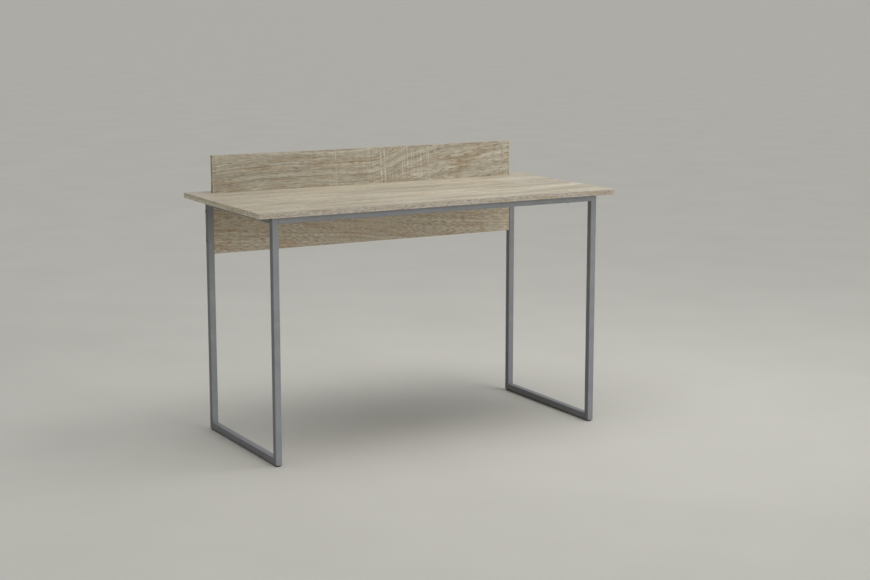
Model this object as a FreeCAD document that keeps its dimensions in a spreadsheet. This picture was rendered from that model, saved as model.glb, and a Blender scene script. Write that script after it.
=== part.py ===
import FreeCAD, Part
import math
import os
import re
import Sketcher

# A writing desk: a laminated tabletop on two welded side frames of square steel tube, with a
# front stretcher, a low upstand on the tabletop, a modesty panel under it and screw-out feet.
# X is across the desk, the user sits at -Y, Z is up, and the origin is on the floor at the middle.

Vector = FreeCAD.Vector
Rotation = FreeCAD.Rotation

# Driving sizes in millimetres
SIZES = {
    # Tabletop, and how far it reaches past the steel frame
    "top_width": 1200,
    "top_depth": 570,
    "top_thickness": 16,
    "side_overhang": 50,
    "front_overhang": 25,
    "rear_overhang": 45,
    # Boards at the back, centred on the rear legs
    "back_thickness": 16,
    "upstand_height": 115,
    "panel_height": 170,
    # Edge bands glued to the boards
    "band_thickness": 1,
    "band_round": 0.6,
    # Square steel tube and the height of the frame above the feet
    "frame_height": 720,
    "tube_side": 20,
    "tube_wall": 1.5,
    "tube_radius": 2,
    "tube_inner_radius": 0.5,
    # Plastic plugs with a threaded bore in the tube ends
    "insert_depth": 30,
    "insert_fin_height": 2.5,
    "insert_fin_depth": 1.2,
    "insert_corner": 1,
    "insert_fit": 0.05,
    # Feet: a pad that stays still on the floor and a stud that turns in it
    "leg_clearance": 4,
    "foot_gap": 0.2,
    "foot_diameter": 18,
    "foot_chamfer": 0.6,
    "foot_floor": 1,
    "foot_key_hole": 6,
    "stud_diameter": 8,
    "stud_length": 26,
    "stud_chamfer": 1,
    "stud_head_diameter": 12,
    "stud_head_height": 1.4,
    "stud_socket": 4,
    "stud_socket_depth": 5,
    "running_clearance": 0.05,
    # Button head bolts through the legs, and the barrel nuts in the panel
    "bolt_diameter": 6,
    "bolt_chamfer": 0.8,
    "bolt_head_diameter": 10.5,
    "bolt_head_height": 3.3,
    "bolt_socket": 4,
    "bolt_socket_depth": 2,
    "stretcher_bolt_length": 40,
    "panel_bolt_length": 60,
    "panel_bolt_inset": 40,
    "barrel_diameter": 10,
    "barrel_length": 12,
    "barrel_edge_distance": 32,
    "barrel_slot_width": 1.6,
    "barrel_slot_depth": 2,
    # Pan head screws through the rails into the tabletop
    "screw_diameter": 4,
    "screw_length": 30,
    "screw_tip": 4,
    "screw_head_diameter": 8,
    "screw_head_height": 2.6,
    "screw_head_slope": 1.4,
    "rail_screw_inset": 50,
    "stretcher_screw_inset": 80,
    # Euro screws and dowels from the tabletop into the upstand
    "euro_diameter": 7,
    "euro_core": 5,
    "euro_head_diameter": 10,
    "euro_head_depth": 2,
    "euro_length": 50,
    "euro_tip": 2,
    "euro_socket": 4,
    "euro_socket_depth": 3,
    "euro_inset": 80,
    "dowel_diameter": 8,
    "dowel_length": 30,
    "dowel_chamfer": 1,
    "dowel_top_depth": 10,
    # Angle brackets behind the panel, with small pan head screws
    "bracket_leg": 30,
    "bracket_width": 40,
    "bracket_metal": 2,
    "bracket_bend": 2,
    "bracket_corner": 5,
    "bracket_inset": 130,
    "bracket_hole_offset": 18,
    "bracket_hole_spacing": 22,
    "small_screw_diameter": 3.5,
    "small_screw_length": 13,
    "small_screw_tip": 3,
    "small_screw_head_diameter": 7,
    "small_screw_head_height": 2,
    "small_screw_head_slope": 1,
    # Cross recess in the screw heads
    "recess_width": 1.1,
    "recess_span": 4,
    "recess_depth": 1.2,
    # Room round a shank in a drilled hole, round a thread in its seat, and past a screw's tip
    "hole_clearance": 0.25,
    "thread_clearance": 0.05,
    "hole_spare": 1,
}

# Distances that follow from the driving sizes
FRAME_DEPTH = "(top_depth - front_overhang - rear_overhang)"
INNER_WIDTH = "(top_width - 2 * side_overhang - 2 * tube_side)"
RAIL_LENGTH = f"({FRAME_DEPTH} - 2 * tube_side)"
LEG_X = "(top_width / 2 - side_overhang - tube_side / 2)"
FRONT_Y = "(front_overhang + tube_side / 2 - top_depth / 2)"
REAR_Y = "(top_depth / 2 - rear_overhang - tube_side / 2)"
FRAME_Y = "((front_overhang - rear_overhang) / 2)"
TOP_RAIL_Z = "(leg_clearance + frame_height - tube_side / 2)"
BOTTOM_RAIL_Z = "(leg_clearance + tube_side / 2)"
UNDERSIDE_Z = "(leg_clearance + frame_height)"
SURFACE_Z = f"({UNDERSIDE_Z} + top_thickness)"
TUBE_INNER = "(tube_side - 2 * tube_wall)"
BOLT_HOLE = "bolt_diameter + 2 * hole_clearance"
BOLT_THREAD = "bolt_diameter + 2 * thread_clearance"
SCREW_THREAD = "screw_diameter + 2 * thread_clearance"
SMALL_THREAD = "small_screw_diameter + 2 * thread_clearance"

SIDES = {"left": -1, "right": 1}
ENDS = {"front": FRONT_Y, "rear": REAR_Y}
UP = Rotation()
TOWARDS_RIGHT = Rotation(Vector(0, 1, 0), 90)
TOWARDS_LEFT = Rotation(Vector(0, 1, 0), -90)
TOWARDS_FRONT = Rotation(Vector(1, 0, 0), 90)
INWARD = {"left": TOWARDS_RIGHT, "right": TOWARDS_LEFT}

document = FreeCAD.newDocument("writing_desk")
sheet = document.addObject("Spreadsheet::Sheet", "Sizes")
for row, (alias, value) in enumerate(SIZES.items(), start=1):
    sheet.set(f"A{row}", alias)
    sheet.set(f"B{row}", str(value))
    sheet.setAlias(f"B{row}", alias)
document.recompute()

subparts = []


def with_sheet(text):
    """Put the sheet's name before each size that an expression names."""
    return re.sub(r"[a-z_]+", lambda word: f"Sizes.{word[0]}" if word[0] in SIZES else word[0], text)


def bind(item, setting, text):
    item.setExpression(setting, with_sheet(text))


def place(item, x, y, z):
    for axis, text in zip("xyz", (x, y, z)):
        bind(item, f"Placement.Base.{axis}", text)


def new_body(label, x="0", y="0", z="0"):
    body = document.addObject("PartDesign::Body", label)
    place(body, x, y, z)
    return body


def kept(item):
    """Count a finished piece among the sub-parts that are written out."""
    subparts.append(item)
    return item


def origin_feature(body, role):
    return next(feature for feature in body.Origin.OriginFeatures if feature.Role == role)


def new_sketch(body, plane, offset="0"):
    sketch = body.newObject("Sketcher::SketchObject", f"{body.Name}_sketch")
    sketch.AttachmentSupport = (origin_feature(body, f"{plane}_Plane"), [""])
    sketch.MapMode = "FlatFace"
    bind(sketch, "AttachmentOffset.Base.z", offset)
    return sketch


def constrain(sketch, text, *constraint):
    """Add a constraint whose value follows an expression."""
    number = sketch.addConstraint(Sketcher.Constraint(*constraint))
    bind(sketch, f"Constraints[{number}]", text)


def fix_point(sketch, geometry, position, x, y):
    """Hold a point of a sketch at a distance from the origin, or on an axis where that is 0."""
    for text, kind, axis in ((x, "DistanceX", -2), (y, "DistanceY", -1)):
        if text == "0":
            sketch.addConstraint(Sketcher.Constraint("PointOnObject", geometry, position, axis))
        else:
            constrain(sketch, text, kind, -1, 1, geometry, position, 1.0)


def draw_outline(sketch, points):
    """Draw a closed outline of straight lines through points given as pairs of expressions."""
    count = len(points)
    start_size = 10
    turns = [2 * math.pi * number / count for number in range(count)]
    corners = [Vector(start_size * math.cos(turn), start_size * math.sin(turn), 0) for turn in turns]
    for number, corner in enumerate(corners):
        sketch.addGeometry(Part.LineSegment(corner, corners[(number + 1) % count]), False)
    for number, (x, y) in enumerate(points):
        sketch.addConstraint(Sketcher.Constraint("Coincident", number - 1 if number else count - 1, 2, number, 1))
        fix_point(sketch, number, 1, x, y)


def draw_rectangle(sketch, left, low, right, high):
    draw_outline(sketch, [(left, low), (right, low), (right, high), (left, high)])


def draw_circles(sketch, centres, diameter):
    for x, y in centres:
        number = sketch.addGeometry(Part.Circle(Vector(1, 1, 0), Vector(0, 0, 1), 1), False)
        fix_point(sketch, number, 3, x, y)
        constrain(sketch, diameter, "Diameter", number, 2.0)


def draw_rounded_square(sketch, side, radius):
    """Draw a square with rounded corners about the sketch's origin."""
    half, round_start = 10, 2
    flat = half - round_start
    first = sketch.GeometryCount
    for turn in range(4):
        spin = Rotation(Vector(0, 0, 1), 90 * turn)
        line = Part.LineSegment(spin.multVec(Vector(-flat, -half)), spin.multVec(Vector(flat, -half)))
        sketch.addGeometry(line, False)
    for turn in range(4):
        centre = Rotation(Vector(0, 0, 1), 90 * turn).multVec(Vector(flat, -flat))
        circle = Part.Circle(centre, Vector(0, 0, 1), round_start)
        start = math.pi / 2 * (turn - 1)
        sketch.addGeometry(Part.ArcOfCircle(circle, start, start + math.pi / 2), False)
    lines = range(first, first + 4)
    arcs = range(first + 4, first + 8)
    for turn in range(4):
        sketch.addConstraint(Sketcher.Constraint("Tangent", lines[turn], 2, arcs[turn], 1))
        sketch.addConstraint(Sketcher.Constraint("Tangent", arcs[turn], 2, lines[(turn + 1) % 4], 1))
        sketch.addConstraint(Sketcher.Constraint("Vertical" if turn % 2 else "Horizontal", lines[turn]))
    for turn in range(3):
        sketch.addConstraint(Sketcher.Constraint("Equal", arcs[turn], arcs[turn + 1]))
    sketch.addConstraint(Sketcher.Constraint("Symmetric", arcs[0], 3, arcs[2], 3, -1, 1))
    constrain(sketch, side, "DistanceX", lines[3], 1, lines[1], 1, 2.0 * half)
    constrain(sketch, side, "DistanceY", lines[0], 1, lines[2], 1, 2.0 * half)
    constrain(sketch, radius, "Radius", arcs[0], float(round_start))


def pad(body, sketch, length, symmetric=False):
    feature = body.newObject("PartDesign::Pad", f"{body.Name}_pad")
    feature.Profile = sketch
    feature.SideType = "Symmetric" if symmetric else "One side"
    bind(feature, "Length", length)
    return feature


def cut(body, sketch, depth=None, along_normal=False):
    """Cut a sketch into a body: right through both ways, or to a depth from the sketch's plane."""
    document.recompute()
    before = body.Shape.Volume
    feature = body.newObject("PartDesign::Pocket", f"{body.Name}_pocket")
    feature.Profile = sketch
    if depth is None:
        feature.Type = "ThroughAll"
        feature.SideType = "Symmetric"
    else:
        feature.Type = "Length"
        feature.Reversed = along_normal
        bind(feature, "Length", depth)
    document.recompute()
    if not body.Shape.Volume < before:
        raise RuntimeError(f"{feature.Label} removed nothing")


def drill(body, plane, centres, diameter, depth=None, offset="0", along_normal=False):
    sketch = new_sketch(body, plane, offset)
    draw_circles(sketch, centres, diameter)
    cut(body, sketch, depth, along_normal)


def turn_profile(body, points):
    """Revolve an outline of (radius, height) points about the body's Z axis."""
    sketch = new_sketch(body, "XZ")
    draw_outline(sketch, points)
    feature = body.newObject("PartDesign::Revolution", f"{body.Name}_turned")
    feature.Profile = sketch
    feature.ReferenceAxis = (sketch, ["V_Axis"])
    feature.Angle = 360
    return feature


def round_edges(body, feature, is_wanted, radius):
    """Fillet the edges of a feature that a test picks out."""
    document.recompute()
    names = [f"Edge{number}" for number, edge in enumerate(feature.Shape.Edges, start=1) if is_wanted(edge)]
    fillet = body.newObject("PartDesign::Fillet", f"{body.Name}_fillet")
    fillet.Base = (feature, names)
    bind(fillet, "Radius", radius)
    return fillet


def cut_hexagon(body, width_across_flats, depth, offset):
    """Sink a hexagon socket upwards from a plane below the head."""
    sketch = new_sketch(body, "XY", offset)
    corner = f"{width_across_flats} / sqrt(3)"
    turns = [30 + 60 * number for number in range(6)]
    draw_outline(sketch, [(f"{corner} * cos({turn} deg)", f"{corner} * sin({turn} deg)") for turn in turns])
    cut(body, sketch, depth, along_normal=True)


def cut_cross(body, offset):
    """Sink the two arms of a cross recess upwards from a plane below the head."""
    for width, length in (("recess_width", "recess_span"), ("recess_span", "recess_width")):
        sketch = new_sketch(body, "XY", offset)
        draw_rectangle(sketch, f"-{width} / 2", f"-{length} / 2", f"{width} / 2", f"{length} / 2")
        cut(body, sketch, "recess_depth", along_normal=True)


def group(label, piece, seats):
    """Gather copies of one piece, each turned and placed in its seat, under one label."""
    copies = []
    for number, (turn, x, y, z) in enumerate(seats, start=1):
        copy = document.addObject("App::Link", f"{label}_{number}")
        copy.LinkedObject = piece
        copy.Placement = FreeCAD.Placement(Vector(), turn)
        place(copy, x, y, z)
        copies.append(copy)
    compound = document.addObject("Part::Compound", label)
    compound.Links = copies
    return kept(compound)


def across(inset, shares):
    """Places along X between the legs: shares of the way from the middle to the inset from a leg."""
    return [f"{share} * ({INNER_WIDTH} / 2 - {inset})" for share in shares]


RAIL_SCREWS = [f"{share} * ({RAIL_LENGTH} / 2 - rail_screw_inset)" for share in (-1, 0, 1)]
STRETCHER_SCREWS = across("stretcher_screw_inset", ("-1", "-1 / 3", "1 / 3", "1"))
EURO_SCREWS = across("euro_inset", ("-1", "-1 / 3", "1 / 3", "1"))
DOWELS = across("euro_inset", ("-2 / 3", "0", "2 / 3"))
BRACKETS = across("bracket_inset", ("-1", "0", "1"))
BRACKET_HOLES = ["-bracket_hole_spacing / 2", "bracket_hole_spacing / 2"]
PANEL_BOLT_HEIGHTS = ["-panel_bolt_inset", "panel_bolt_inset - panel_height"]


# Steel frame: legs that run from the feet to the tabletop, with rails welded between them

def tube(label, plane, length, x, y, z, symmetric=True):
    body = new_body(label, x, y, z)
    sketch = new_sketch(body, plane)
    draw_rounded_square(sketch, "tube_side", "tube_radius")
    draw_rounded_square(sketch, TUBE_INNER, "tube_inner_radius")
    pad(body, sketch, length, symmetric)
    return kept(body)


for side, sign in SIDES.items():
    side_x = f"{sign} * {LEG_X}"
    front_leg = tube(f"{side}_front_leg", "XY", "frame_height", side_x, FRONT_Y, "leg_clearance", False)
    drill(front_leg, "YZ", [("0", "frame_height - tube_side / 2")], BOLT_HOLE)
    rear_leg = tube(f"{side}_rear_leg", "XY", "frame_height", side_x, REAR_Y, "leg_clearance", False)
    drill(rear_leg, "YZ", [("0", f"frame_height + ({height})") for height in PANEL_BOLT_HEIGHTS], BOLT_HOLE)
    top_rail = tube(f"{side}_top_rail", "XZ", RAIL_LENGTH, side_x, FRAME_Y, TOP_RAIL_Z)
    drill(top_rail, "XY", [("0", y) for y in RAIL_SCREWS], "screw_diameter + 2 * hole_clearance")
    tube(f"{side}_bottom_rail", "XZ", RAIL_LENGTH, side_x, FRAME_Y, BOTTOM_RAIL_Z)

stretcher = tube("front_stretcher", "YZ", INNER_WIDTH, "0", FRONT_Y, TOP_RAIL_Z)
drill(stretcher, "XY", [(x, "0") for x in STRETCHER_SCREWS], "screw_diameter + 2 * hole_clearance")


# Finned plastic plugs: one up each leg's foot end, one in each end of the stretcher

def tube_insert(label, bore):
    body = new_body(label)
    core = new_sketch(body, "XY")
    draw_rounded_square(core, f"{TUBE_INNER} - 2 * insert_fin_depth", "insert_corner")
    pad(body, core, "insert_depth")
    fin = new_sketch(body, "XY")
    draw_rounded_square(fin, f"{TUBE_INNER} - 2 * insert_fit", "insert_corner")
    fin_pad = pad(body, fin, "insert_fin_height")
    document.recompute()
    pattern = body.newObject("PartDesign::LinearPattern", f"{label}_fins")
    pattern.Originals = [fin_pad]
    pattern.Direction = (origin_feature(body, "Z_Axis"), [""])
    pattern.Occurrences = 4
    bind(pattern, "Length", "insert_depth - insert_fin_height")
    body.Tip = pattern
    drill(body, "XY", [("0", "0")], bore)
    return body


leg_insert = tube_insert("leg_insert", "stud_diameter + 2 * running_clearance")
leg_seats = [(UP, f"{sign} * {LEG_X}", y, "leg_clearance") for sign in SIDES.values() for y in ENDS.values()]
group("leg_inserts", leg_insert, leg_seats)

stretcher_insert = tube_insert("stretcher_insert", BOLT_THREAD)
stretcher_seats = [
    (INWARD[side], f"{sign} * {INNER_WIDTH} / 2", FRONT_Y, TOP_RAIL_Z) for side, sign in SIDES.items()
]
group("stretcher_inserts", stretcher_insert, stretcher_seats)


# Feet: the stud's disc is held in the pad, and its shank screws up into the leg's plug

HEAD_LOW = "(foot_floor + running_clearance)"
HEAD_HIGH = f"({HEAD_LOW} + stud_head_height)"
CAVITY_TOP = f"({HEAD_HIGH} + running_clearance)"
PAD_TOP = "(leg_clearance - foot_gap)"
SHANK_TOP = f"({HEAD_HIGH} + stud_length)"


def foot_pad(label, x, y):
    body = new_body(label, x, y)
    turn_profile(body, [
        ("foot_key_hole / 2", "0"),
        ("foot_diameter / 2 - foot_chamfer", "0"),
        ("foot_diameter / 2", "foot_chamfer"),
        ("foot_diameter / 2", f"{PAD_TOP} - foot_chamfer"),
        ("foot_diameter / 2 - foot_chamfer", PAD_TOP),
        ("stud_diameter / 2 + running_clearance", PAD_TOP),
        ("stud_diameter / 2 + running_clearance", CAVITY_TOP),
        ("stud_head_diameter / 2 + running_clearance", CAVITY_TOP),
        ("stud_head_diameter / 2 + running_clearance", "foot_floor"),
        ("foot_key_hole / 2", "foot_floor"),
    ])
    kept(body)


def foot_stud(label, x, y):
    body = new_body(label, x, y)
    turn_profile(body, [
        ("0", HEAD_LOW),
        ("stud_head_diameter / 2", HEAD_LOW),
        ("stud_head_diameter / 2", HEAD_HIGH),
        ("stud_diameter / 2", HEAD_HIGH),
        ("stud_diameter / 2", f"{SHANK_TOP} - stud_chamfer"),
        ("stud_diameter / 2 - stud_chamfer", SHANK_TOP),
        ("0", SHANK_TOP),
    ])
    cut_hexagon(body, "stud_socket", "stud_socket_depth", HEAD_LOW)
    kept(body)


for side, sign in SIDES.items():
    for end, end_y in ENDS.items():
        foot_pad(f"{side}_{end}_foot_pad", f"{sign} * {LEG_X}", end_y)
        foot_stud(f"{side}_{end}_foot_stud", f"{sign} * {LEG_X}", end_y)


# Button head bolts: their heads bear on the legs' outer faces, and they point inwards

def button_bolt(label, length):
    """Make a bolt whose crown is a dome in two slanted rings round a flat for the socket."""
    body = new_body(label)
    crown = [(f"bolt_head_diameter / 2 * cos({turn} deg)", f"-bolt_head_height * sin({turn} deg) / sin(60 deg)")
             for turn in (60, 30)]
    turn_profile(body, [("0", "-bolt_head_height")] + crown + [
        ("bolt_head_diameter / 2", "0"),
        ("bolt_diameter / 2", "0"),
        ("bolt_diameter / 2", f"{length} - bolt_chamfer"),
        ("bolt_diameter / 2 - bolt_chamfer", length),
        ("0", length),
    ])
    cut_hexagon(body, "bolt_socket", "bolt_socket_depth", "-bolt_head_height")
    return body


stretcher_bolt = button_bolt("stretcher_bolt", "stretcher_bolt_length")
group("stretcher_bolts", stretcher_bolt, [
    (INWARD[side], f"{sign} * ({LEG_X} + tube_side / 2)", FRONT_Y, TOP_RAIL_Z) for side, sign in SIDES.items()
])
panel_bolt = button_bolt("panel_bolt", "panel_bolt_length")
group("panel_bolts", panel_bolt, [
    (INWARD[side], f"{sign} * ({LEG_X} + tube_side / 2)", REAR_Y, f"{UNDERSIDE_Z} + ({height})")
    for side, sign in SIDES.items() for height in PANEL_BOLT_HEIGHTS
])


# Barrel nuts: slotted cylinders across the panel's thickness that the panel bolts screw into

barrel_nut = new_body("barrel_nut")
barrel_sketch = new_sketch(barrel_nut, "XZ")
draw_circles(barrel_sketch, [("0", "0")], "barrel_diameter")
pad(barrel_nut, barrel_sketch, "barrel_length", symmetric=True)
drill(barrel_nut, "YZ", [("0", "0")], BOLT_THREAD)
slot_sketch = new_sketch(barrel_nut, "XZ", "-barrel_length / 2")
draw_rectangle(
    slot_sketch, "-barrel_diameter", "-barrel_slot_width / 2", "barrel_diameter", "barrel_slot_width / 2"
)
cut(barrel_nut, slot_sketch, "barrel_slot_depth", along_normal=True)
BARREL_X = f"({INNER_WIDTH} / 2 - barrel_edge_distance)"
group("barrel_nuts", barrel_nut, [
    (UP, f"{sign} * {BARREL_X}", REAR_Y, f"{UNDERSIDE_Z} + ({height})")
    for sign in SIDES.values() for height in PANEL_BOLT_HEIGHTS
])


# Pan head wood screws: up through the rails and the stretcher, and through the brackets

def pan_screw(label, name):
    """Make a screw from the sizes whose names start with the given word."""
    body = new_body(label)
    turn_profile(body, [
        ("0", f"-{name}_head_height"),
        (f"{name}_head_diameter / 2 - {name}_head_slope", f"-{name}_head_height"),
        (f"{name}_head_diameter / 2", f"{name}_head_slope - {name}_head_height"),
        (f"{name}_head_diameter / 2", "0"),
        (f"{name}_diameter / 2", "0"),
        (f"{name}_diameter / 2", f"{name}_length - {name}_tip"),
        ("0", f"{name}_length"),
    ])
    cut_cross(body, f"-{name}_head_height")
    return body


RAIL_UNDERSIDE_Z = f"({UNDERSIDE_Z} - tube_side)"
rail_screw_seats = [
    (UP, f"{sign} * {LEG_X}", f"{FRAME_Y} + {y}", RAIL_UNDERSIDE_Z) for sign in SIDES.values() for y in RAIL_SCREWS
]
stretcher_screw_seats = [(UP, x, FRONT_Y, RAIL_UNDERSIDE_Z) for x in STRETCHER_SCREWS]
group("tabletop_screws", pan_screw("tabletop_screw", "screw"), rail_screw_seats + stretcher_screw_seats)


# Boards, each with edge bands that have their outer corners eased

def edge_band(label, x, y, z, size_x, size_y, size_z, outward):
    """Make a strip about its middle, rounded along its outer face's two long edges."""
    body = new_body(label, x, y, z)
    sketch = new_sketch(body, "XY")
    draw_rectangle(sketch, f"-{size_x} / 2", f"-{size_y} / 2", f"{size_x} / 2", f"{size_y} / 2")
    strip = pad(body, sketch, size_z, symmetric=True)
    document.recompute()
    reach = max(edge.CenterOfMass.dot(outward) for edge in strip.Shape.Edges)
    length = max(edge.Length for edge in strip.Shape.Edges)

    def is_outer_long_edge(edge):
        return math.isclose(edge.CenterOfMass.dot(outward), reach) and math.isclose(edge.Length, length)

    round_edges(body, strip, is_outer_long_edge, "min(band_round; band_thickness * 0.9)")
    kept(body)


CORE_WIDTH = "(top_width - 2 * band_thickness)"
CORE_DEPTH = "(top_depth - 2 * band_thickness)"
TOP_MIDDLE_Z = f"({UNDERSIDE_Z} + top_thickness / 2)"
PILOT_DEPTH = "screw_length - tube_side + hole_spare"
SMALL_PILOT_DEPTH = "small_screw_length - bracket_metal + hole_spare"
PANEL_REAR_Y = f"({REAR_Y} + back_thickness / 2)"
BRACKET_SCREWS = [f"{bracket} + {hole}" for bracket in BRACKETS for hole in BRACKET_HOLES]

tabletop = new_body("tabletop", z=UNDERSIDE_Z)
core_sketch = new_sketch(tabletop, "XY")
draw_rectangle(core_sketch, f"-{CORE_WIDTH} / 2", f"-{CORE_DEPTH} / 2", f"{CORE_WIDTH} / 2", f"{CORE_DEPTH} / 2")
pad(tabletop, core_sketch, "top_thickness")
rail_pilots = [(x, y) for turn, x, y, z in rail_screw_seats + stretcher_screw_seats]
drill(tabletop, "XY", rail_pilots, SCREW_THREAD, PILOT_DEPTH, along_normal=True)
bracket_pilots = [(x, f"{PANEL_REAR_Y} + bracket_hole_offset") for x in BRACKET_SCREWS]
drill(tabletop, "XY", bracket_pilots, SMALL_THREAD, SMALL_PILOT_DEPTH, along_normal=True)
euro_holes = [(x, REAR_Y) for x in EURO_SCREWS]
drill(tabletop, "XY", euro_holes, "euro_diameter + 2 * thread_clearance")
drill(
    tabletop, "XY", euro_holes, "euro_head_diameter + 2 * thread_clearance", "euro_head_depth", along_normal=True
)
drill(
    tabletop, "XY", [(x, REAR_Y) for x in DOWELS], "dowel_diameter + 2 * thread_clearance", "dowel_top_depth",
    offset="top_thickness",
)
kept(tabletop)

for name, sign in (("front", -1), ("rear", 1)):
    edge_band(
        f"tabletop_{name}_band", "0", f"{sign} * ({CORE_DEPTH} + band_thickness) / 2", TOP_MIDDLE_Z,
        "top_width", "band_thickness", "top_thickness", Vector(0, sign, 0),
    )
for name, sign in SIDES.items():
    edge_band(
        f"tabletop_{name}_band", f"{sign} * ({CORE_WIDTH} + band_thickness) / 2", "0", TOP_MIDDLE_Z,
        "band_thickness", CORE_DEPTH, "top_thickness", Vector(sign, 0, 0),
    )


# Upstand: stands on the tabletop above the rear legs, banded on its top and both ends

UPSTAND_WIDTH = f"({INNER_WIDTH} - 2 * band_thickness)"
UPSTAND_CORE = "(upstand_height - band_thickness)"

upstand = new_body("upstand", "0", REAR_Y, SURFACE_Z)
upstand_sketch = new_sketch(upstand, "XZ")
draw_rectangle(upstand_sketch, f"-{UPSTAND_WIDTH} / 2", "0", f"{UPSTAND_WIDTH} / 2", UPSTAND_CORE)
pad(upstand, upstand_sketch, "back_thickness", symmetric=True)
drill(
    upstand, "XY", [(x, "0") for x in EURO_SCREWS], "euro_core + 2 * thread_clearance",
    "euro_length - top_thickness + hole_spare", along_normal=True,
)
drill(
    upstand, "XY", [(x, "0") for x in DOWELS], "dowel_diameter + 2 * thread_clearance",
    "dowel_length - dowel_top_depth + hole_spare", along_normal=True,
)
kept(upstand)
edge_band(
    "upstand_top_band", "0", REAR_Y, f"{SURFACE_Z} + upstand_height - band_thickness / 2",
    INNER_WIDTH, "back_thickness", "band_thickness", Vector(0, 0, 1),
)
for side, sign in SIDES.items():
    edge_band(
        f"upstand_{side}_band", f"{sign} * ({INNER_WIDTH} - band_thickness) / 2", REAR_Y,
        f"{SURFACE_Z} + {UPSTAND_CORE} / 2", "band_thickness", "back_thickness", UPSTAND_CORE, Vector(sign, 0, 0),
    )


# Euro screws and dowels that join the upstand to the tabletop from below

euro_screw = new_body("euro_screw")
turn_profile(euro_screw, [
    ("0", "0"),
    ("euro_head_diameter / 2", "0"),
    ("euro_head_diameter / 2", "euro_head_depth"),
    ("euro_diameter / 2", "euro_head_depth"),
    ("euro_diameter / 2", "top_thickness"),
    ("euro_core / 2", "top_thickness"),
    ("euro_core / 2", "euro_length - euro_tip"),
    ("euro_core / 2 - euro_tip / 2", "euro_length"),
    ("0", "euro_length"),
])
cut_hexagon(euro_screw, "euro_socket", "euro_socket_depth", "0")
group("euro_screws", euro_screw, [(UP, x, REAR_Y, UNDERSIDE_Z) for x in EURO_SCREWS])

dowel = new_body("dowel")
turn_profile(dowel, [
    ("0", "0"),
    ("dowel_diameter / 2 - dowel_chamfer", "0"),
    ("dowel_diameter / 2", "dowel_chamfer"),
    ("dowel_diameter / 2", "dowel_length - dowel_chamfer"),
    ("dowel_diameter / 2 - dowel_chamfer", "dowel_length"),
    ("0", "dowel_length"),
])
group("upstand_dowels", dowel, [(UP, x, REAR_Y, f"{SURFACE_Z} - dowel_top_depth") for x in DOWELS])


# Modesty panel: hangs under the tabletop between the rear legs, bolted to them through its ends

PANEL_CORE = "(panel_height - band_thickness)"

panel = new_body("modesty_panel", "0", REAR_Y, UNDERSIDE_Z)
panel_sketch = new_sketch(panel, "XZ")
draw_rectangle(panel_sketch, f"-{INNER_WIDTH} / 2", f"-{PANEL_CORE}", f"{INNER_WIDTH} / 2", "0")
pad(panel, panel_sketch, "back_thickness", symmetric=True)
bolt_depth = "panel_bolt_length - tube_side + hole_spare"
for sign in SIDES.values():
    drill(
        panel, "YZ", [("0", height) for height in PANEL_BOLT_HEIGHTS], BOLT_HOLE, bolt_depth,
        offset=f"{sign} * {INNER_WIDTH} / 2", along_normal=sign < 0,
    )
barrel_holes = [(f"{sign} * {BARREL_X}", height) for sign in SIDES.values() for height in PANEL_BOLT_HEIGHTS]
drill(
    panel, "XZ", barrel_holes, "barrel_diameter + 2 * thread_clearance", "(back_thickness + barrel_length) / 2",
    offset="-back_thickness / 2", along_normal=True,
)
drill(
    panel, "XZ", [(x, "-bracket_hole_offset") for x in BRACKET_SCREWS], SMALL_THREAD, SMALL_PILOT_DEPTH,
    offset="-back_thickness / 2", along_normal=True,
)
kept(panel)
edge_band(
    "modesty_panel_band", "0", REAR_Y, f"{UNDERSIDE_Z} - panel_height + band_thickness / 2",
    INNER_WIDTH, "back_thickness", "band_thickness", Vector(0, 0, -1),
)


# Angle brackets: bent steel strips in the corner behind the panel, two screws in each leg

def is_bend(edge):
    """Pick the inner edge of the bend, which runs along X away from the outer faces."""
    middle = edge.CenterOfMass
    metal = float(sheet.get("bracket_metal"))
    return math.isclose(middle.x, 0, abs_tol=1e-6) and math.isclose(middle.y, metal) and math.isclose(middle.z, -metal)


def is_free_corner(edge):
    """Pick the short edges through the metal at the ends of both legs."""
    middle = edge.CenterOfMass
    metal = float(sheet.get("bracket_metal"))
    at_end = max(middle.y, -middle.z) > float(sheet.get("bracket_leg")) - metal
    return at_end and math.isclose(edge.Length, metal) and abs(middle.x) > metal


bracket = new_body("angle_bracket")
bracket_sketch = new_sketch(bracket, "YZ")
draw_outline(bracket_sketch, [
    ("0", "0"),
    ("bracket_leg", "0"),
    ("bracket_leg", "-bracket_metal"),
    ("bracket_metal", "-bracket_metal"),
    ("bracket_metal", "-bracket_leg"),
    ("0", "-bracket_leg"),
])
bracket_strip = pad(bracket, bracket_sketch, "bracket_width", symmetric=True)
bent = round_edges(bracket, bracket_strip, is_bend, "bracket_bend")
round_edges(bracket, bent, is_free_corner, "bracket_corner")
bracket_hole = "small_screw_diameter + 2 * hole_clearance"
drill(bracket, "XY", [(x, "bracket_hole_offset") for x in BRACKET_HOLES], bracket_hole)
drill(bracket, "XZ", [(x, "-bracket_hole_offset") for x in BRACKET_HOLES], bracket_hole)
group("angle_brackets", bracket, [(UP, x, PANEL_REAR_Y, UNDERSIDE_Z) for x in BRACKETS])

upward_seats = [
    (UP, x, f"{PANEL_REAR_Y} + bracket_hole_offset", f"{UNDERSIDE_Z} - bracket_metal") for x in BRACKET_SCREWS
]
forward_seats = [
    (TOWARDS_FRONT, x, f"{PANEL_REAR_Y} + bracket_metal", f"{UNDERSIDE_Z} - bracket_hole_offset")
    for x in BRACKET_SCREWS
]
group("bracket_screws", pan_screw("bracket_screw", "small_screw"), upward_seats + forward_seats)


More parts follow.
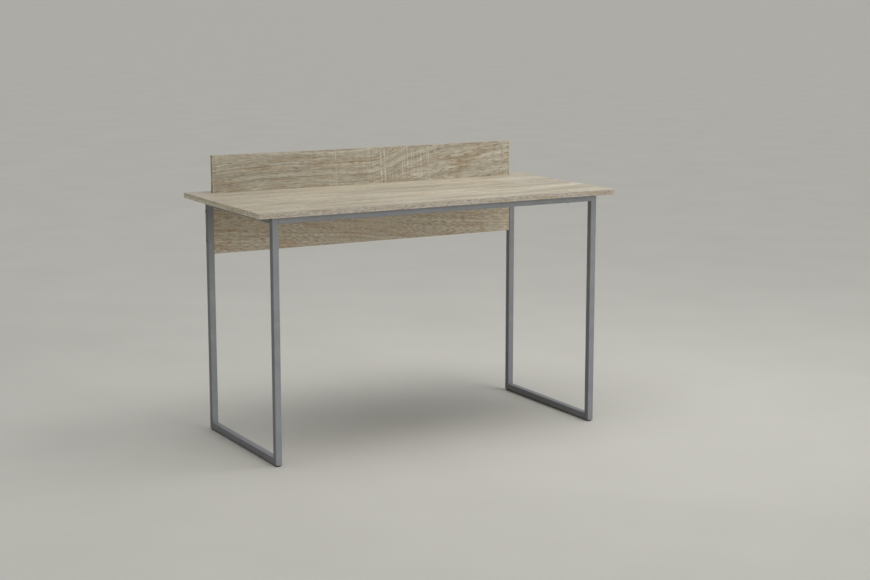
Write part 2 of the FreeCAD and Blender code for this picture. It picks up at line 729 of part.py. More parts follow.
document.recompute()
for item in document.Objects:
    if "Invalid" in item.State or "Error" in item.State:
        raise RuntimeError(f"{item.Label} failed")
for item in subparts:
    if item.Shape.isNull() or not item.Shape.isValid() or not item.Shape.Solids:
        raise RuntimeError(f"{item.Label} has no sound solid")

os.makedirs("parts", exist_ok=True)
for item in subparts:
    item.Shape.exportStep(f"parts/{item.Label}.step")
    print(item.Label, len(item.Shape.Solids), round(item.Shape.Volume, 1))
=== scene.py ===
import math

import bpy
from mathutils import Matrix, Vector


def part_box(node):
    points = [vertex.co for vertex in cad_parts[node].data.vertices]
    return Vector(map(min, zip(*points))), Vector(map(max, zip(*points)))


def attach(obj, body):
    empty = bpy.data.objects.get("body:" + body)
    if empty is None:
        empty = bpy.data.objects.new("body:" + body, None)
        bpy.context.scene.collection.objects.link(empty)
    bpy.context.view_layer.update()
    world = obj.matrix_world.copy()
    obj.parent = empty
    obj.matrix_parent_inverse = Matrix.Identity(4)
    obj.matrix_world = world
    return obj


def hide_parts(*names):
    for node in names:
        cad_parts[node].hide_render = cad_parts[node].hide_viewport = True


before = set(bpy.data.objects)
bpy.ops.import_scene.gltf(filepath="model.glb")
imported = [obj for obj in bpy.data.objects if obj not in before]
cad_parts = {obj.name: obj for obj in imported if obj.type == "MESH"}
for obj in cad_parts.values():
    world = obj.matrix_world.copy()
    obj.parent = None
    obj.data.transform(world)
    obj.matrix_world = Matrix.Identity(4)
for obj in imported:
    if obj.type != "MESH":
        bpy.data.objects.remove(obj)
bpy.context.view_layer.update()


# Camera. It stands to the left of the desk at eye height, with a lens of about 71 mm on a 36 mm wide
# sensor, and looks a little down, so that both side frames, the top and the boards at the back show.
CAMERA_PLACE = (-2.4958, -4.6503, 1.3681)
CAMERA_DOWN = 0.1760
CAMERA_TO_RIGHT = 0.5124
lens = bpy.data.cameras.new("desk_lens")
lens.sensor_width = 36.0
lens.lens = 71.22
camera = bpy.data.objects.new("desk_camera", lens)
camera.location = CAMERA_PLACE
camera.rotation_euler = (math.pi / 2 - CAMERA_DOWN, 0.0, -CAMERA_TO_RIGHT)
bpy.context.scene.collection.objects.link(camera)
bpy.context.scene.camera = camera
bpy.context.scene.view_settings.view_transform = "Standard"


# Side frames. Each is a rectangle of 20 mm square steel tube with 1.5 mm walls: the rails butt against the
# legs and are welded there, the seams outside are ground flush, and the frame is powder coated as a whole.
MM = 0.001


def linear(hex_colour):
    """Turns an sRGB colour such as "8f9092" into the linear colour that a shader takes."""
    channels = [int(hex_colour[i : i + 2], 16) / 255 for i in (0, 2, 4)]
    return [c / 12.92 if c <= 0.04045 else ((c + 0.055) / 1.055) ** 2.4 for c in channels] + [1.0]


def add_node(tree, kind, inputs=(), out=0, stops=(), **settings):
    """Adds a node with its settings, links or fills its inputs, and returns one of its outputs."""
    node = tree.nodes.new("ShaderNode" + kind)
    for setting, value in settings.items():
        setattr(node, setting, value)
    for name, value in dict(inputs).items():
        if isinstance(value, bpy.types.NodeSocket):
            tree.links.new(value, node.inputs[name])
        else:
            node.inputs[name].default_value = value
    for number, (position, colour) in enumerate(stops):
        elements = node.color_ramp.elements
        stop = elements[number] if number < 2 else elements.new(position)
        stop.position = position
        stop.color = colour
    return node.outputs[out]


def start_material(name, **constants):
    """Starts a material and sets the constant sockets of its shader; returns it, its tree and the sockets."""
    material = bpy.data.materials.new(name)
    material.use_nodes = True
    sockets = material.node_tree.nodes["Principled BSDF"].inputs
    for socket, value in constants.items():
        sockets[socket.replace("_", " ")].default_value = value
    return material, material.node_tree, sockets


def dress(material, *nodes):
    """Puts a material in the slots of CAD nodes."""
    for node in nodes:
        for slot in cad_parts[node].material_slots:
            slot.material = material


# Polyester powder coat on steel: the baked powder flows out to a fine orange peel of about 3 mm and a
# satin gloss, with a faint cloudiness where the film is thicker.
powder_coat, tree, surface = start_material("grey_powder_coat", IOR=1.5, Specular_IOR_Level=0.2)
place = add_node(tree, "TexCoord", out="Object")
clouds = add_node(tree, "TexNoise", {"Vector": place, "Scale": 1 / (45 * MM), "Detail": 3.0})
grit = add_node(tree, "TexNoise", {"Vector": place, "Scale": 1 / (2.2 * MM), "Detail": 2.0})
peel = add_node(tree, "TexNoise", {"Vector": place, "Scale": 1 / (3.0 * MM), "Detail": 1.0})
film = add_node(tree, "ValToRGB", {"Fac": clouds}, stops=[(0.3, linear("8c8e92")), (0.7, linear("95979a"))])
speck = add_node(tree, "ValToRGB", {"Fac": grit}, stops=[(0.35, linear("f0f0ef")), (0.65, linear("ffffff"))])
coat = add_node(tree, "Mix", {0: 1.0, 6: film, 7: speck}, out=2, data_type="RGBA", blend_type="MULTIPLY")
tree.links.new(coat, surface["Base Color"])
gloss = add_node(tree, "MapRange", {"Value": clouds, "To Min": 0.40, "To Max": 0.52})
tree.links.new(gloss, surface["Roughness"])
skin = add_node(tree, "Bump", {"Height": peel, "Strength": 0.35, "Distance": 0.05 * MM})
tree.links.new(skin, surface["Normal"])

SIDES = ("left", "right")
for side in SIDES:
    for tube in ("front_leg", "rear_leg", "top_rail", "bottom_rail"):
        dress(powder_coat, f"{side}_{tube}")


# Weld beads. A fillet bead fills each inner corner of a side frame across the tube's flat, with the ripples
# that the torch leaves. It is coated together with the tubes.
BEAD_LEG = 3.0 * MM
BEAD_LENGTH = 15.0 * MM
BEAD_RIPPLES = 20
BEAD_SUNK = 0.3 * MM
BEAD_SIDES = 24
RIPPLE_WAIST = 0.88
END_TAPER = 0.6
BEAD_SMOOTHED = math.radians(50)
CUT_TOLERANCE = 1e-7


def choose(piece, kind, wanted):
    """Selects a piece's vertices or edges in edit mode, where their end points are as wanted."""
    bpy.ops.object.mode_set(mode="EDIT")
    bpy.ops.mesh.select_mode(type=kind)
    bpy.ops.mesh.select_all(action="DESELECT")
    bpy.ops.object.mode_set(mode="OBJECT")
    mesh = piece.data
    if kind == "VERT":
        for vertex in mesh.vertices:
            vertex.select = wanted(vertex.co)
    else:
        for edge in mesh.edges:
            edge.select = wanted(*[mesh.vertices[end].co for end in edge.vertices])
    bpy.ops.object.mode_set(mode="EDIT")


def cut_off(point, direction):
    """Cuts the edit mesh at a plane, drops what lies behind it, and closes the cut."""
    bpy.ops.mesh.select_all(action="SELECT")
    bpy.ops.mesh.bisect(
        plane_co=point, plane_no=direction, use_fill=True, clear_inner=True, threshold=CUT_TOLERANCE
    )


def lay_bead(name, corner, out_y, out_z):
    """Lays a rippled bead across a tube, in the corner that is open towards out_y and out_z."""
    bpy.ops.object.select_all(action="DESELECT")
    bpy.ops.mesh.primitive_cylinder_add(
        vertices=BEAD_SIDES, radius=BEAD_LEG, depth=BEAD_LENGTH, rotation=(0, math.pi / 2, 0)
    )
    bead = bpy.context.object
    bead.name = name
    bpy.ops.object.transform_apply()
    choose(bead, "EDGE", lambda a, b: abs(a.x - b.x) > BEAD_LENGTH / 2)
    bpy.ops.mesh.subdivide(number_cuts=BEAD_RIPPLES - 1)
    ripple = BEAD_LENGTH / BEAD_RIPPLES
    choose(bead, "VERT", lambda p: round((p.x + BEAD_LENGTH / 2) / ripple) % 2 == 1)
    bpy.ops.transform.resize(value=(1, RIPPLE_WAIST, RIPPLE_WAIST), center_override=(0, 0, 0))
    choose(bead, "VERT", lambda p: abs(p.x) > BEAD_LENGTH / 2 - ripple / 2)
    bpy.ops.transform.resize(value=(1, END_TAPER, END_TAPER), center_override=(0, 0, 0))
    cut_off((0, -out_y * BEAD_SUNK, 0), (0, out_y, 0))
    cut_off((0, 0, -out_z * BEAD_SUNK), (0, 0, out_z))
    bpy.ops.object.mode_set(mode="OBJECT")
    bpy.ops.object.shade_smooth_by_angle(angle=BEAD_SMOOTHED)
    bead.location = corner
    bpy.ops.object.transform_apply()
    bead.data.materials.append(powder_coat)
    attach(bead, "desk")


for side in SIDES:
    rail_low, rail_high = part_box(f"{side}_bottom_rail")
    across = (rail_low.x + rail_high.x) / 2
    top_rail_low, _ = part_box(f"{side}_top_rail")
    for end, y, out_y in (("front", rail_low.y, 1), ("rear", rail_high.y, -1)):
        lay_bead(f"{side}_{end}_lower_weld", (across, y, rail_high.z), out_y, 1)
        lay_bead(f"{side}_{end}_upper_weld", (across, y, top_rail_low.z), out_y, -1)


# Leg plugs. A finned plug is pressed into each leg's lower end, and its bore takes the foot's thread.
# They are injection moulded in black polyamide.

# Black polyamide: dull, with the fine spark-eroded grain of its mould, drawn at 1.2 mm so that it shows.
polyamide, tree, surface = start_material("black_polyamide", IOR=1.53)
place = add_node(tree, "TexCoord", out="Object")
grain = add_node(tree, "TexNoise", {"Vector": place, "Scale": 1 / (1.2 * MM), "Detail": 3.0})
shade = add_node(tree, "ValToRGB", {"Fac": grain}, stops=[(0.3, linear("1b1b1c")), (0.7, linear("262628"))])
tree.links.new(shade, surface["Base Color"])
gloss = add_node(tree, "MapRange", {"Value": grain, "To Min": 0.48, "To Max": 0.68})
tree.links.new(gloss, surface["Roughness"])
skin = add_node(tree, "Bump", {"Height": grain, "Strength": 0.4, "Distance": 0.06 * MM})
tree.links.new(skin, surface["Normal"])
dress(polyamide, "leg_inserts")


# Levelling feet. A steel stud with a disc at its lower end turns in a moulded pad and screws into the leg's
# plug. The thread is M8 with 1.25 mm pitch, rolled and zinc plated, and a key reaches its socket from below.
THREAD_PITCH = 1.25 * MM
THREAD_ROOT = 3.3 * MM
THREAD_CREST = 3.95 * MM
THREAD_STEPS = 24
SPARE_TURNS = 2
THREAD_SMOOTHED = math.radians(20)
CREST_FLAT = 0.2
DISC_HEIGHT = 1.4 * MM
DISC_SIDES = 48
SOCKET_WIDTH = 4.0 * MM
SOCKET_DEPTH = 5.0 * MM
SEAM_TOLERANCE = 1e-6
SLIVER_TOLERANCE = 5e-6


def combine(piece, tool, operation):
    """Joins a closed tool to a piece or takes it away, and deletes the tool."""
    bpy.ops.object.select_all(action="DESELECT")
    bpy.context.view_layer.objects.active = piece
    piece.select_set(True)
    bpy.ops.object.modifier_add(type="BOOLEAN")
    boolean = piece.modifiers[-1]
    boolean.object = tool
    boolean.operation = operation
    bpy.ops.object.modifier_apply(modifier=boolean.name)
    bpy.data.objects.remove(tool)


def turn_stud(foot):
    """Models one foot's stud in the place of its CAD node: a wound thread on a disc with a key socket."""
    low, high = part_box(f"{foot}_foot_stud")
    shank_low = low.z + DISC_HEIGHT
    turns = math.ceil((high.z - shank_low) / THREAD_PITCH) + SPARE_TURNS
    start = shank_low - THREAD_PITCH
    flank = (THREAD_ROOT + THREAD_CREST) / 2
    bpy.ops.object.select_all(action="DESELECT")
    bpy.ops.mesh.primitive_plane_add(size=1, rotation=(math.pi / 2, 0, 0))
    stud = bpy.context.object
    stud.name = f"{foot}_threaded_stud"
    stud.scale = (THREAD_CREST - THREAD_ROOT, THREAD_PITCH, 1)
    stud.location = (flank, 0, start)
    bpy.ops.object.transform_apply()
    choose(stud, "EDGE", lambda a, b: max(a.x, b.x) < flank)
    bpy.ops.mesh.delete(type="EDGE_FACE")
    choose(stud, "VERT", lambda p: p.x > flank)
    bpy.ops.transform.resize(value=(1, 1, CREST_FLAT), center_override=(0, 0, start))
    bpy.ops.object.mode_set(mode="OBJECT")
    bpy.ops.object.modifier_add(type="SCREW")
    winding = stud.modifiers[-1]
    winding.screw_offset = THREAD_PITCH
    winding.iterations = turns
    winding.steps = winding.render_steps = THREAD_STEPS
    bpy.ops.object.modifier_apply(modifier=winding.name)
    bpy.ops.object.mode_set(mode="EDIT")
    bpy.ops.mesh.select_all(action="SELECT")
    bpy.ops.mesh.remove_doubles(threshold=SEAM_TOLERANCE)
    cut_off((0, 0, shank_low), (0, 0, 1))
    cut_off((0, 0, high.z), (0, 0, -1))
    bpy.ops.mesh.select_all(action="SELECT")
    bpy.ops.mesh.normals_make_consistent(inside=False)
    bpy.ops.object.mode_set(mode="OBJECT")
    bpy.ops.object.select_all(action="DESELECT")
    bpy.ops.mesh.primitive_cylinder_add(
        vertices=DISC_SIDES,
        radius=(high.x - low.x) / 2,
        depth=DISC_HEIGHT,
        location=(0, 0, low.z + DISC_HEIGHT / 2),
    )
    disc = bpy.context.object
    bpy.ops.object.transform_apply()
    bpy.ops.object.select_all(action="DESELECT")
    bpy.ops.mesh.primitive_cylinder_add(
        vertices=6,
        radius=SOCKET_WIDTH / 2 / math.cos(math.pi / 6),
        depth=2 * SOCKET_DEPTH,
        location=(0, 0, low.z),
    )
    key = bpy.context.object
    bpy.ops.object.transform_apply()
    combine(stud, disc, "UNION")
    combine(stud, key, "DIFFERENCE")
    bpy.ops.object.mode_set(mode="EDIT")
    bpy.ops.mesh.select_all(action="SELECT")
    bpy.ops.mesh.remove_doubles(threshold=SLIVER_TOLERANCE)
    bpy.ops.object.mode_set(mode="OBJECT")
    bpy.ops.object.shade_smooth_by_angle(angle=THREAD_SMOOTHED)
    stud.location = ((low.x + high.x) / 2, (low.y + high.y) / 2, 0)
    bpy.ops.object.transform_apply()
    stud.data.materials.clear()
    stud.data.materials.append(zinc)
    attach(stud, f"{foot}_stud")
    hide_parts(f"{foot}_foot_stud")


# Zinc plated steel: bright and slightly blue, with the milky patches of its passivation and fine drawing
# marks, drawn at 1.5 mm so that they show.
zinc, tree, surface = start_material("zinc_plated_steel", Metallic=1.0)
place = add_node(tree, "TexCoord", out="Object")
bloom = add_node(tree, "TexNoise", {"Vector": place, "Scale": 1 / (6.0 * MM), "Detail": 3.0})
marks = add_node(tree, "TexNoise", {"Vector": place, "Scale": 1 / (1.5 * MM), "Detail": 2.0})
plate = add_node(tree, "ValToRGB", {"Fac": bloom}, stops=[(0.3, linear("b9bcc2")), (0.7, linear("cfd0d1"))])
tree.links.new(plate, surface["Base Color"])
gloss = add_node(tree, "MapRange", {"Value": bloom, "To Min": 0.26, "To Max": 0.42})
tree.links.new(gloss, surface["Roughness"])
skin = add_node(tree, "Bump", {"Height": marks, "Strength": 0.3, "Distance": 0.03 * MM})
tree.links.new(skin, surface["Normal"])

for side in SIDES:
    for end in ("front", "rear"):
        turn_stud(f"{side}_{end}")
        dress(polyamide, f"{side}_{end}_foot_pad")


# Front stretcher. A tube of the same section between the front legs, with a moulded plug in each end and a
# button head bolt through each leg into it. The tube is coated as the frames are, and the heads are painted.
dress(powder_coat, "front_stretcher")
dress(polyamide, "stretcher_inserts")

# Painted bolt heads: the frames' grey in a thinner, smoother paint that is a shade darker.
bolt_paint, tree, surface = start_material("bolt_grey_paint", IOR=1.5)
place = add_node(tree, "TexCoord", out="Object")
film = add_node(tree, "TexNoise", {"Vector": place, "Scale": 1 / (4.0 * MM), "Detail": 2.0})
shade = add_node(tree, "ValToRGB", {"Fac": film}, stops=[(0.3, linear("7c7f83")), (0.7, linear("898b8f"))])
tree.links.new(shade, surface["Base Color"])
gloss = add_node(tree, "MapRange", {"Value": film, "To Min": 0.34, "To Max": 0.44})
tree.links.new(gloss, surface["Roughness"])
skin = add_node(tree, "Bump", {"Height": film, "Strength": 0.2, "Distance": 0.05 * MM})
tree.links.new(skin, surface["Normal"])
dress(bolt_paint, "stretcher_bolts")


# Tabletop. A chipboard of 16 mm, faced with melamine paper that is printed as sawn oak and pressed with fine
# pores. Its grain runs along the desk, and it is screwed down from below.
HALF_PRINT = 600 * MM
TONE_PLACES = (0.36, 0.45, 0.55, 0.64)
PORE_BROWN = "96846c"
SAW_PALE = "d2ccba"
SAW_PITCH = 7 * MM
SAW_SLANT = 0.06
SAW_PATCH = (60 * MM, 40 * MM)


def ramp_stop(place, level):
    """Gives the stop of a ramp along the print for a place in millimetres and a level from 0 to 1."""
    return (place * MM / HALF_PRINT / 2 + 0.5, [level] * 3 + [1.0])


def oak_print(
    name, along, across, span, seed, sweep, line, wave, tones, drift, fibre, pore, warm, paling=0.0, sawn=()
):
    """Makes printed oak, with lengths in millimetres.

    The grain runs along one axis, and across names the other, or both others for edging that shows on two
    sides. span gives the board's lower and upper edge there. The growth lines follow the sweep: places along
    the board, its two ends first, and how high the lines have risen there at the lower and at the upper edge.
    line is their distance, and wave the length, the width and the reach of their wandering. tones go from
    the dark lines to the pale ones, and drift is the share by which broad streaks are lighter or darker.
    fibre and pore are the length, the width and the strength of the flecks between the lines, which are drawn
    about five times as wide as real ones so that they show. warm tints long clouds in the grain, and paling
    is how much further up the tones the print is at its far end than at its near one. sawn lists places along
    the board, its two ends first, with the strength of the saw's marks there.
    """
    material, tree, surface = start_material(name, IOR=1.5)
    place = add_node(tree, "TexCoord", out="Object")
    length = add_node(tree, "SeparateXYZ", {"Vector": place}, out=along)
    width = length.node.outputs[across[0]]
    for axis in across[1:]:
        width = add_node(tree, "Math", {0: width, 1: length.node.outputs[axis]})
    sheet = add_node(tree, "CombineXYZ", {"X": length, "Y": width, "Z": seed})
    run = add_node(tree, "MapRange", {"Value": length, "From Min": -HALF_PRINT, "From Max": HALF_PRINT})
    height = add_node(tree, "MapRange", {"Value": width, "From Min": span[0] * MM, "From Max": span[1] * MM})

    highest = max(max(rises) for _, *rises in sweep)
    flows = []
    for edge in (0, 1):
        stops = [ramp_stop(x, rises[edge] / highest) for x, *rises in sweep]
        flows.append(add_node(tree, "ValToRGB", {"Fac": run}, stops=stops))
        flows[-1].node.color_ramp.interpolation = "B_SPLINE"
    flow = add_node(tree, "Mix", {0: height, 2: flows[0], 3: flows[1]})
    wave_length, wave_width, wave_reach = wave
    wave_scale = (1 / (wave_length * MM), 1 / (wave_width * MM), 1.0)
    swell = add_node(tree, "Mapping", {"Vector": sheet, "Scale": wave_scale})
    waves = add_node(tree, "TexNoise", {"Vector": swell, "Scale": 1.0, "Detail": 3.0, "Roughness": 0.5})
    risen = add_node(tree, "Math", {0: flow, 1: -highest * MM, 2: width}, operation="MULTIPLY_ADD")
    level = add_node(tree, "Math", {0: waves, 1: -2 * wave_reach * MM, 2: risen}, operation="MULTIPLY_ADD")
    grain = add_node(tree, "CombineXYZ", {"X": length, "Y": level, "Z": seed})

    order = add_node(tree, "Math", {0: level, 1: 1 / (line * MM), 2: seed}, operation="MULTIPLY_ADD")
    rings = add_node(tree, "TexNoise", {"W": order, "Scale": 1.0, "Detail": 4.0}, noise_dimensions="1D")
    layers = {}
    for layer, (cell_length, cell_width) in {
        "streak": (7 * line, 0.5 * line),
        "cloud": (14 * line, 1.6 * line),
        "drift": (36 * line, 4.5 * line),
        "fibre": fibre[:2],
        "pore": pore[:2],
    }.items():
        scale = (1 / (cell_length * MM), 1 / (cell_width * MM), 1.0)
        drawn = add_node(tree, "Mapping", {"Vector": grain, "Scale": scale})
        layers[layer] = add_node(tree, "TexNoise", {"Vector": drawn, "Scale": 1.0, "Detail": 3.0})

    figure = add_node(tree, "Mix", {0: 0.35, 2: rings, 3: layers["streak"]})
    paler = add_node(tree, "MapRange", {"Value": run, "To Min": -paling / 2, "To Max": paling / 2})
    figure = add_node(tree, "Math", {0: figure, 1: paler})
    tone_stops = list(zip(TONE_PLACES, map(linear, tones)))
    oak = add_node(tree, "ValToRGB", {"Fac": figure}, stops=tone_stops)
    blush = add_node(tree, "MapRange", {"Value": layers["cloud"], "From Min": 0.50, "From Max": 0.68})
    tinted = {0: blush, 6: oak, 7: linear(warm)}
    oak = add_node(tree, "Mix", tinted, out=2, data_type="RGBA", blend_type="MULTIPLY")
    for layer, share in (("drift", drift), ("fibre", fibre[2])):
        depth = {"From Min": 0.3, "From Max": 0.7, "To Min": 1 - share, "To Max": 1 + share}
        flecks = add_node(tree, "MapRange", {"Value": layers[layer], **depth})
        flecked = {0: 1.0, 6: oak, 7: flecks}
        oak = add_node(tree, "Mix", flecked, out=2, data_type="RGBA", blend_type="MULTIPLY")
    ticks = {"Value": layers["pore"], "From Min": 0.56, "From Max": 0.64, "To Max": pore[2]}
    pored = {0: add_node(tree, "MapRange", ticks), 6: oak, 7: linear(PORE_BROWN)}
    oak = add_node(tree, "Mix", pored, out=2, data_type="RGBA", blend_type="MULTIPLY")

    if sawn:
        slant = add_node(tree, "Math", {0: width, 1: SAW_SLANT, 2: length}, operation="MULTIPLY_ADD")
        teeth = add_node(tree, "Math", {0: slant, 1: 1 / SAW_PITCH}, operation="MULTIPLY")
        kerf = add_node(tree, "TexNoise", {"W": teeth, "Scale": 1.0, "Detail": 1.0}, noise_dimensions="1D")
        marks = add_node(tree, "MapRange", {"Value": kerf, "From Min": 0.50, "From Max": 0.68})
        strengths = [ramp_stop(x, share) for x, share in sawn]
        where = add_node(tree, "ValToRGB", {"Fac": run}, stops=strengths)
        patch_scale = (1 / SAW_PATCH[0], 1 / SAW_PATCH[1], 1.0)
        spot_cells = add_node(tree, "Mapping", {"Vector": sheet, "Scale": patch_scale})
        spots = add_node(tree, "TexNoise", {"Vector": spot_cells, "Scale": 1.0, "Detail": 2.0})
        kept = add_node(tree, "MapRange", {"Value": spots, "From Min": 0.35, "From Max": 0.55})
        broken = add_node(tree, "MapRange", {"Value": layers["fibre"], "From Min": 0.3, "From Max": 0.6})
        for share in (where, kept, broken):
            marks = add_node(tree, "Math", {0: marks, 1: share}, operation="MULTIPLY")
        oak = add_node(tree, "Mix", {0: marks, 6: oak, 7: linear(SAW_PALE)}, out=2, data_type="RGBA")

    tree.links.new(oak, surface["Base Color"])
    gloss = add_node(tree, "MapRange", {"Value": layers["fibre"], "To Min": 0.42, "To Max": 0.56})
    tree.links.new(gloss, surface["Roughness"])
    skin = add_node(tree, "Bump", {"Height": layers["fibre"], "Strength": 0.3, "Distance": 0.1 * MM})
    tree.links.new(skin, surface["Normal"])
    return material


tabletop_oak = oak_print(
    "tabletop_oak_melamine",
    "X",
    "Y",
    span=(-285, 285),
    seed=1.7,
    sweep=[(-600, 0, 0), (600, 30, 40), (-150, 20, 30), (0, 10, 0), (150, 20, 25), (300, 10, 20)],
    line=14,
    wave=(520, 150, 18),
    tones=("a99f8c", "b4ab98", "beb5a2", "c9c1af"),
    drift=0.23,
    fibre=(24, 3.2, 0.16),
    pore=(20, 3.0, 0.45),
    warm="eee5d6",
)
dress(tabletop_oak, "tabletop")


# Tabletop edge bands. Strips of 1 mm edging in the same oak print are glued round the board and have their
# outer corners eased by a trimmer. The tones of the end strips are raised until they match the photo in this
# light, and the real ones may be as dark as the long strips: their paleness is painted light, lifting the
# shade on the end faces. The upstand's end strips are raised in the same way, as painted light too.
LONG_TONES = ("a79e8f", "afa697", "b7ae9f", "c1b9aa")
PAINTED_LIGHT_END_TONES = ("d8ceb8", "e0d7c0", "e8dfc8", "f0e8d3")
PAINTED_LIGHT_UPRIGHT_TONES = ("bfb49a", "c6bba2", "cdc3aa", "d6ccb4")
edging = {}
for strip, run_of_grain, seed, tones in (
    ("long", "X", 4.2, LONG_TONES),
    ("end", "Y", 6.1, PAINTED_LIGHT_END_TONES),
    ("upright", "Z", 7.4, PAINTED_LIGHT_UPRIGHT_TONES),
):
    edging[strip] = oak_print(
        f"{strip}_oak_edging",
        run_of_grain,
        "XYZ".replace(run_of_grain, ""),
        span=(0, 855),
        seed=seed,
        sweep=[(-600, 0, 0), (600, 1, 1)],
        line=8,
        wave=(60, 24, 4),
        tones=tones,
        drift=0.02,
        fibre=(14, 3, 0.24),
        pore=(11, 2.8, 0.5),
        warm="f2eadf",
    )
dress(edging["long"], "tabletop_front_band", "tabletop_rear_band")
# The end strips take the raised tones, whose paleness is painted light.
dress(edging["end"], "tabletop_left_band", "tabletop_right_band")


# Tabletop screws. Pan head screws go up through the top rails and the stretcher into the board. Their heads
# are painted in the frames' grey, so that they do not show from the front.
dress(bolt_paint, "tabletop_screws")


# Upstand. A board of the same make that stands on the tabletop above the rear legs, held from below by euro
# screws and beech dowels, with edging on its top and both ends.
upstand_oak = oak_print(
    "upstand_oak_melamine",
    "X",
    "Z",
    span=(740, 855),
    seed=37.8,
    sweep=[
        (-600, 0, 8),
        (600, 66, 112),
        (-520, 2, 10),
        (-385, 24, 18),
        (-200, 26, 13),
        (-80, 20, 10),
        (20, 19, 16),
        (60, 24, 28),
        (100, 34, 46),
        (150, 40, 66),
        (210, 44, 84),
        (260, 47, 92),
        (330, 49, 95),
        (400, 53, 99),
        (470, 61, 107),
    ],
    line=10,
    wave=(150, 50, 7),
    tones=("8d8472", "9f9784", "aaa290", "bdb6a5"),
    drift=0.04,
    fibre=(20, 2.0, 0.22),
    pore=(22, 1.9, 0.60),
    warm="efe3d2",
    paling=0.09,
    sawn=[
        (-600, 0.1),
        (600, 0.1),
        (-505, 0.3),
        (-470, 0.0),
        (-150, 0.1),
        (-125, 0.9),
        (-80, 0.1),
        (10, 0.5),
        (60, 0.9),
        (100, 1.0),
        (130, 0.6),
        (160, 0.7),
        (230, 0.5),
        (260, 0.05),
        (480, 0.05),
        (500, 0.5),
    ],
)
dress(upstand_oak, "upstand")
dress(edging["long"], "upstand_top_band")
# The upstand's end strips take raised tones, whose paleness is painted light.
dress(edging["upright"], "upstand_left_band", "upstand_right_band")
dress(zinc, "euro_screws")

# Beech: pale pinkish brown, with short dark flecks along the dowel.
beech, tree, surface = start_material("beech_dowel", IOR=1.5)
place = add_node(tree, "TexCoord", out="Object")
laid = add_node(tree, "Mapping", {"Vector": place, "Scale": (1 / (0.8 * MM), 1 / (0.8 * MM), 1 / (6 * MM))})
fleck = add_node(tree, "TexNoise", {"Vector": laid, "Scale": 1.0, "Detail": 2.0})
shade = add_node(tree, "ValToRGB", {"Fac": fleck}, stops=[(0.35, linear("b78f68")), (0.6, linear("d6b48c"))])
tree.links.new(shade, surface["Base Color"])
gloss = add_node(tree, "MapRange", {"Value": fleck, "To Min": 0.5, "To Max": 0.7})
tree.links.new(gloss, surface["Roughness"])
skin = add_node(tree, "Bump", {"Height": fleck, "Strength": 0.4, "Distance": 0.1 * MM})
tree.links.new(skin, surface["Normal"])
dress(beech, "upstand_dowels")


# Modesty panel. A board of the same make that hangs under the tabletop between the rear legs. Bolts go
# through the legs into barrel nuts in its ends, and its lower edge is banded.
panel_oak = oak_print(
    "panel_oak_melamine",
    "X",
    "Z",
    span=(554, 724),
    seed=8.9,
    sweep=[
        (-600, 110, 110),
        (600, 0, 0),
        (-300, 78, 82),
        (-100, 66, 60),
        (50, 50, 52),
        (250, 22, 30),
        (420, 12, 14),
    ],
    line=8,
    wave=(80, 30, 8),
    tones=("b2a58f", "b9ac96", "c0b39d", "c8bca7"),
    drift=0.03,
    fibre=(18, 2.4, 0.34),
    pore=(19, 2.4, 0.55),
    warm="f1e5d8",
)
dress(panel_oak, "modesty_panel")
dress(edging["long"], "modesty_panel_band")
dress(zinc, "barrel_nuts")
dress(bolt_paint, "panel_bolts")


# Angle brackets. Bent strips of zinc plated steel sit in the corner behind the panel, with two screws up into
# the tabletop and two into the panel.
dress(zinc, "angle_brackets", "bracket_screws")


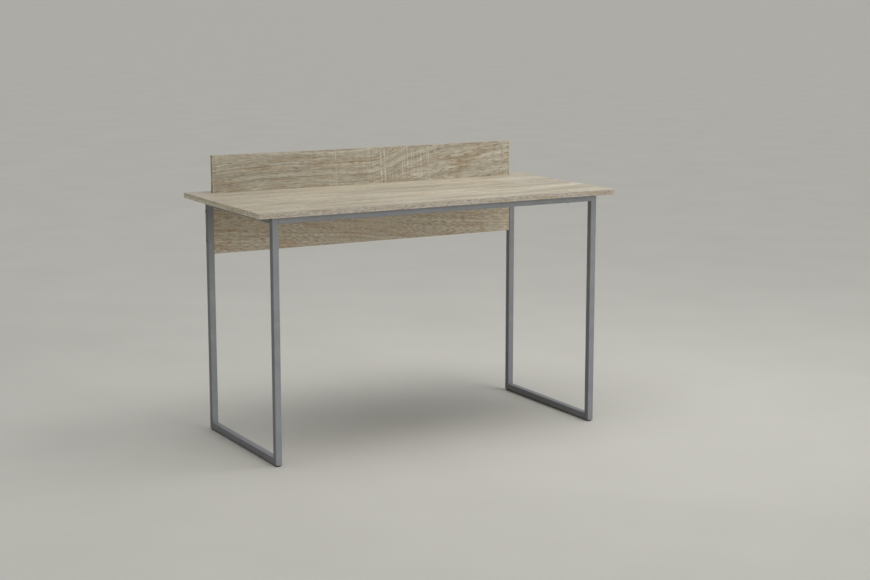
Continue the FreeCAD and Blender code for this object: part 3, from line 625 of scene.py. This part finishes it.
# Floor and light. A plain pale floor runs out of sight. Broad soft lights come from overhead and from low in
# front on the right, a softbox hangs above the right end, and a sky that dims to the left fills the shadows.
# Above the floor the camera sees a plain backdrop in place of the sky.
FLOOR_RADIUS = 300.0
FLOOR_SIDES = 96
SKY_STRENGTH = 0.85
bpy.ops.object.select_all(action="DESELECT")
bpy.ops.mesh.primitive_circle_add(vertices=FLOOR_SIDES, radius=FLOOR_RADIUS, fill_type="NGON")
floor = bpy.context.object
floor.name = "floor"
floor_paint, tree, surface = start_material("matt_floor_paint", Roughness=0.85)
place = add_node(tree, "TexCoord", out="Object")
mottle = add_node(tree, "TexNoise", {"Vector": place, "Scale": 1 / (400 * MM), "Detail": 4.0})
shade = add_node(tree, "ValToRGB", {"Fac": mottle}, stops=[(0.3, linear("c8c6be")), (0.7, linear("cccac2"))])
tree.links.new(shade, surface["Base Color"])
floor.data.materials.append(floor_paint)

sky = bpy.data.worlds.new("studio_sky")
sky.use_nodes = True
glow = sky.node_tree.nodes["Background"].inputs
direction = add_node(sky.node_tree, "TexCoord", out="Generated")
to_right = add_node(sky.node_tree, "SeparateXYZ", {"Vector": direction}, out="X")
rightward = add_node(sky.node_tree, "MapRange", {"Value": to_right, "From Min": -1.0, "From Max": 1.0})
dim_to_bright = [(0.2, linear("1e1f20")), (0.75, linear("cbcccd"))]
light = add_node(sky.node_tree, "ValToRGB", {"Fac": rightward}, stops=dim_to_bright)
seen = add_node(sky.node_tree, "LightPath", out="Is Camera Ray")
backdrop = {0: seen, 6: light, 7: linear("b8b7b0")}
shown = add_node(sky.node_tree, "Mix", backdrop, out=2, data_type="RGBA")
sky.node_tree.links.new(shown, glow["Color"])
glow["Strength"].default_value = SKY_STRENGTH
bpy.context.scene.world = sky


def hang_light(name, kind, place, target, **settings):
    """Hangs a light at a place and turns it to a target."""
    light = bpy.data.lights.new(name, kind)
    for setting, value in settings.items():
        setattr(light, setting, value)
    holder = bpy.data.objects.new(name, light)
    holder.location = place
    x, y, z = (t - p for t, p in zip(target, place))
    holder.rotation_euler = (math.atan2(math.hypot(x, y), -z), 0.0, math.atan2(-x, y))
    holder.visible_camera = False
    bpy.context.scene.collection.objects.link(holder)


hang_light("front_light", "SUN", (3.8, -8.5, 1.7), (0, 0, 0), energy=1.09, angle=math.radians(36))
hang_light("overhead_light", "SUN", (-1.4, -0.6, 6.0), (0, 0, 0), energy=1.13, angle=math.radians(60))
hang_light("right_softbox", "AREA", (0.95, -0.6, 2.5), (0.4, 0.0, 0.74), energy=18.5, size=1.4)
